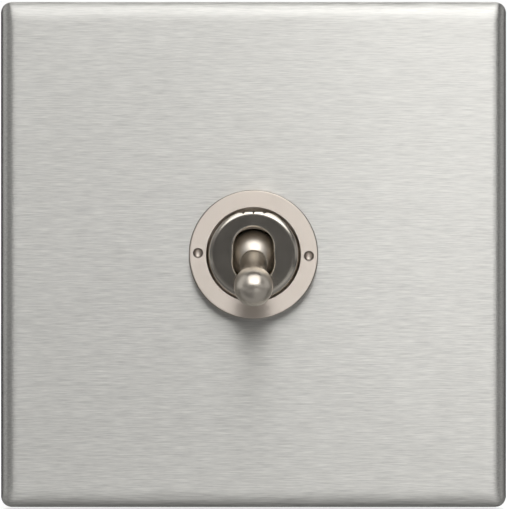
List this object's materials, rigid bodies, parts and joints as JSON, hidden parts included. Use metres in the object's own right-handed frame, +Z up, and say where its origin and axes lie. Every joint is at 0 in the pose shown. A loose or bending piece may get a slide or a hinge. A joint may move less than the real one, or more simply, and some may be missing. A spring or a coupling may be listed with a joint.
{
  "type": "wall light switch",
  "caption": "Square brushed metal wall switch plate with a ring nut and a round-tipped toggle lever that works a changeover contact in a moulded case behind it.",
  "frame": {"origin": "middle of the plate, on the wall plane at the plate's rear rim", "axes": "+X right as seen from the front, +Y into the wall, +Z up; the lever comes out towards -Y"},
  "size_m": [0.088, 0.0425, 0.088],
  "materials": {
    "front_plate": "fine horizontal brushing",
    "ring_nut": "satin nickel plate",
    "lock_nut": "bright nickel plate",
    "lock_washer": "zinc plate",
    "mounting_yoke": "zinc plate",
    "insulating_liner": "moulded black",
    "bush": "polished dark nickel plate",
    "pivot_pins": "ground",
    "dolly_lever": "polished nickel plate",
    "dolly_knob": "satin nickel plate",
    "plunger": "moulded natural nylon",
    "detent_spring": "drawn spring wire",
    "switch_case": "moulded off-white",
    "rocker_contact": "rolled strip",
    "rocker_tips": "silver alloy",
    "common_terminal": "machined",
    "terminal_one": "machined",
    "terminal_two": "machined",
    "fixed_contact_tips": "silver alloy",
    "terminal_screws": "zinc plate",
    "case_screws": "zinc plate",
    "fixing_screws": "zinc plate",
    "screw_keepers": "moulded nylon",
    "earth_terminal": "machined",
    "earth_screw": "zinc plate"
  },
  "bodies": {
    "base": {"front_plate": "front_plate", "ring_nut": "ring_nut", "lock_nut": "lock_nut", "lock_washer": "lock_washer", "mounting_yoke": "mounting_yoke", "insulating_liner": "insulating_liner", "bush": "bush", "pivot_pins": "pivot_pins", "switch_case": "switch_case", "common_terminal": "common_terminal", "terminal_one": "terminal_one", "terminal_two": "terminal_two", "fixed_contact_tips": "fixed_contact_tips", "terminal_screws": "terminal_screws", "case_screws": "case_screws", "fixing_screws": "fixing_screws", "screw_keepers": "screw_keepers", "earth_terminal": "earth_terminal", "earth_screw": "earth_screw"},
    "dolly": {"dolly_lever": "dolly_lever", "dolly_knob": "dolly_knob", "detent_spring": "detent_spring"},
    "plunger_body": {"plunger": "plunger"},
    "rocker": {"rocker_contact": "rocker_contact", "rocker_tips": "rocker_tips"}
  },
  "joints": [
    {"name": "dolly_toggle", "type": "hinge", "parent": "base", "child": "dolly", "pos_m": [0, -0.0031, 0], "axis": [-1, 0, 0], "range_deg": [0, 48]},
    {"name": "rocker_tilt", "type": "hinge", "parent": "base", "child": "rocker", "pos_m": [0, 0.0069, 0], "axis": [1, 0, 0], "range_deg": [0, 16]},
    {"name": "plunger_slide", "type": "slide", "parent": "dolly", "child": "plunger_body", "axis": [0, -0.9135, -0.4067], "range_m": [0, 0.0008], "stiffness_N_per_m": 400, "springref_m": -0.002, "deforming": ["detent_spring"]}
  ],
  "couplings": [
    {"joint": "rocker_tilt", "follows": "dolly_toggle", "ratio": 0.3333}
  ]
}
